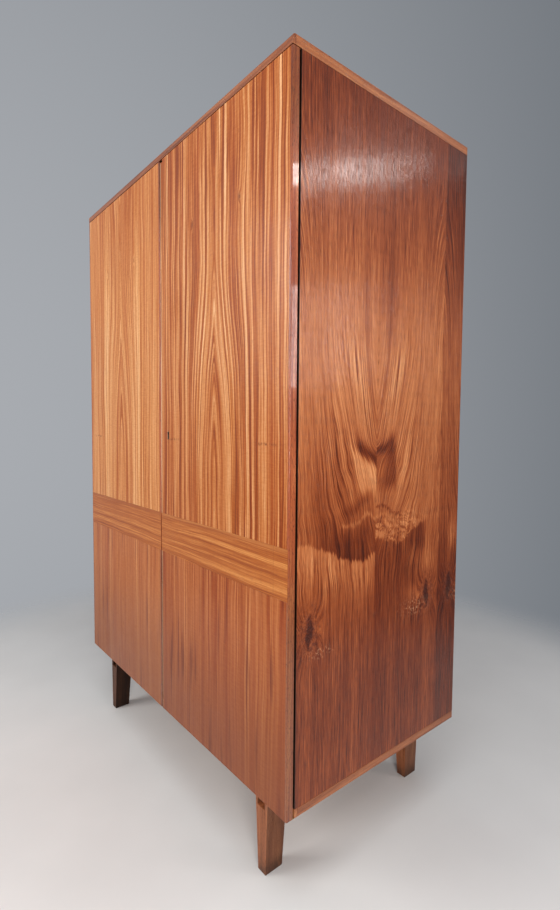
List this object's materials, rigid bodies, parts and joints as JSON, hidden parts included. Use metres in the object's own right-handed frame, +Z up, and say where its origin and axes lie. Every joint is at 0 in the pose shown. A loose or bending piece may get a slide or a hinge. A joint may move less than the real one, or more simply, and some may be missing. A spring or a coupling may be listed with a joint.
{
  "type": "two-door wardrobe",
  "caption": "Tall veneered wardrobe on tapered legs: plain overlay doors on knife hinges, a cross band, a lock, shelves on one side and a hanging rail on the other.",
  "frame": {"origin": "on the floor, under the middle of the wardrobe's overall width and depth", "axes": "+Z up, -Y out of the door fronts, +X to the right of a person facing the doors"},
  "size_m": [1.09, 0.6, 1.726],
  "materials": {
    "side_veneer": "figured walnut-brown veneer, book-matched, clear gloss lacquer",
    "door_veneer": "ribbon-striped orange-brown veneer, clear gloss lacquer",
    "band_veneer": "horizontal-grain cross band, clear gloss lacquer",
    "lipping": "solid reddish-brown edge strip, satin",
    "interior_wood": "plain light-brown board, thin satin finish",
    "leg_wood": "stained solid beech, satin, worn at the feet",
    "brass": "aged brass, dull",
    "steel": "plain sheet steel, lightly tarnished"
  },
  "bodies": {
    "case": {"back_cross_rail": "leg_wood", "back_left_leg": "leg_wood", "back_panel": "interior_wood", "back_right_leg": "leg_wood", "bottom_board": "interior_wood", "bottom_front_lipping": "lipping", "centre_partition": "interior_wood", "edge_bolt_keeper": "brass", "front_cross_rail": "leg_wood", "front_left_leg": "leg_wood", "front_right_leg": "leg_wood", "hanging_rail": "interior_wood", "hat_shelf": "interior_wood", "hat_shelf_inner_bearer": "interior_wood", "hat_shelf_outer_bearer": "interior_wood", "inner_rail_block": "interior_wood", "left_bottom_end_lipping": "lipping", "left_foot_hinge_plate": "brass", "left_frame_rail": "leg_wood", "left_side_panel": "side_veneer", "left_top_end_lipping": "lipping", "left_top_hinge_plate": "brass", "linen_shelf_1": "interior_wood", "linen_shelf_1_inner_bearer": "interior_wood", "linen_shelf_1_outer_bearer": "interior_wood", "linen_shelf_2": "interior_wood", "linen_shelf_2_inner_bearer": "interior_wood", "linen_shelf_2_outer_bearer": "interior_wood", "linen_shelf_3": "interior_wood", "linen_shelf_3_inner_bearer": "interior_wood", "linen_shelf_3_outer_bearer": "interior_wood", "lock_strike": "brass", "outer_rail_block": "interior_wood", "right_bottom_end_lipping": "lipping", "right_foot_hinge_plate": "brass", "right_frame_rail": "leg_wood", "right_side_panel": "side_veneer", "right_top_end_lipping": "lipping", "right_top_hinge_plate": "brass", "top_board": "side_veneer", "top_front_lipping": "lipping"},
    "left_door": {"left_door_panel": "door_veneer", "left_door_meeting_lipping": "lipping", "left_door_hinge_lipping": "lipping", "left_door_cross_band": "band_veneer", "left_top_hinge_leaf": "brass", "left_foot_hinge_leaf": "brass", "edge_bolt_plate": "brass"},
    "right_door": {"right_door_panel": "door_veneer", "right_door_meeting_lipping": "lipping", "right_door_hinge_lipping": "lipping", "right_door_cross_band": "band_veneer", "right_top_hinge_leaf": "brass", "right_foot_hinge_leaf": "brass", "lock_case": "steel", "keyhole_liner": "steel"},
    "lock_bolt": {"lock_bolt": "brass"},
    "edge_bolt": {"edge_bolt_rod": "brass"}
  },
  "joints": [
    {"name": "left_door_swing", "type": "hinge", "parent": "case", "child": "left_door", "pos_m": [-0.536, -0.2915, 0.953], "axis": [0, 0, -1], "range_deg": [0, 180]},
    {"name": "right_door_swing", "type": "hinge", "parent": "case", "child": "right_door", "pos_m": [0.536, -0.2915, 0.953], "axis": [0, 0, 1], "range_deg": [0, 180]},
    {"name": "lock_bolt_throw", "type": "slide", "parent": "right_door", "child": "lock_bolt", "axis": [-1, 0, 0], "range_m": [0, 0.01]},
    {"name": "edge_bolt_shoot", "type": "slide", "parent": "left_door", "child": "edge_bolt", "axis": [0, 0, 1], "range_m": [0, 0.012]}
  ]
}
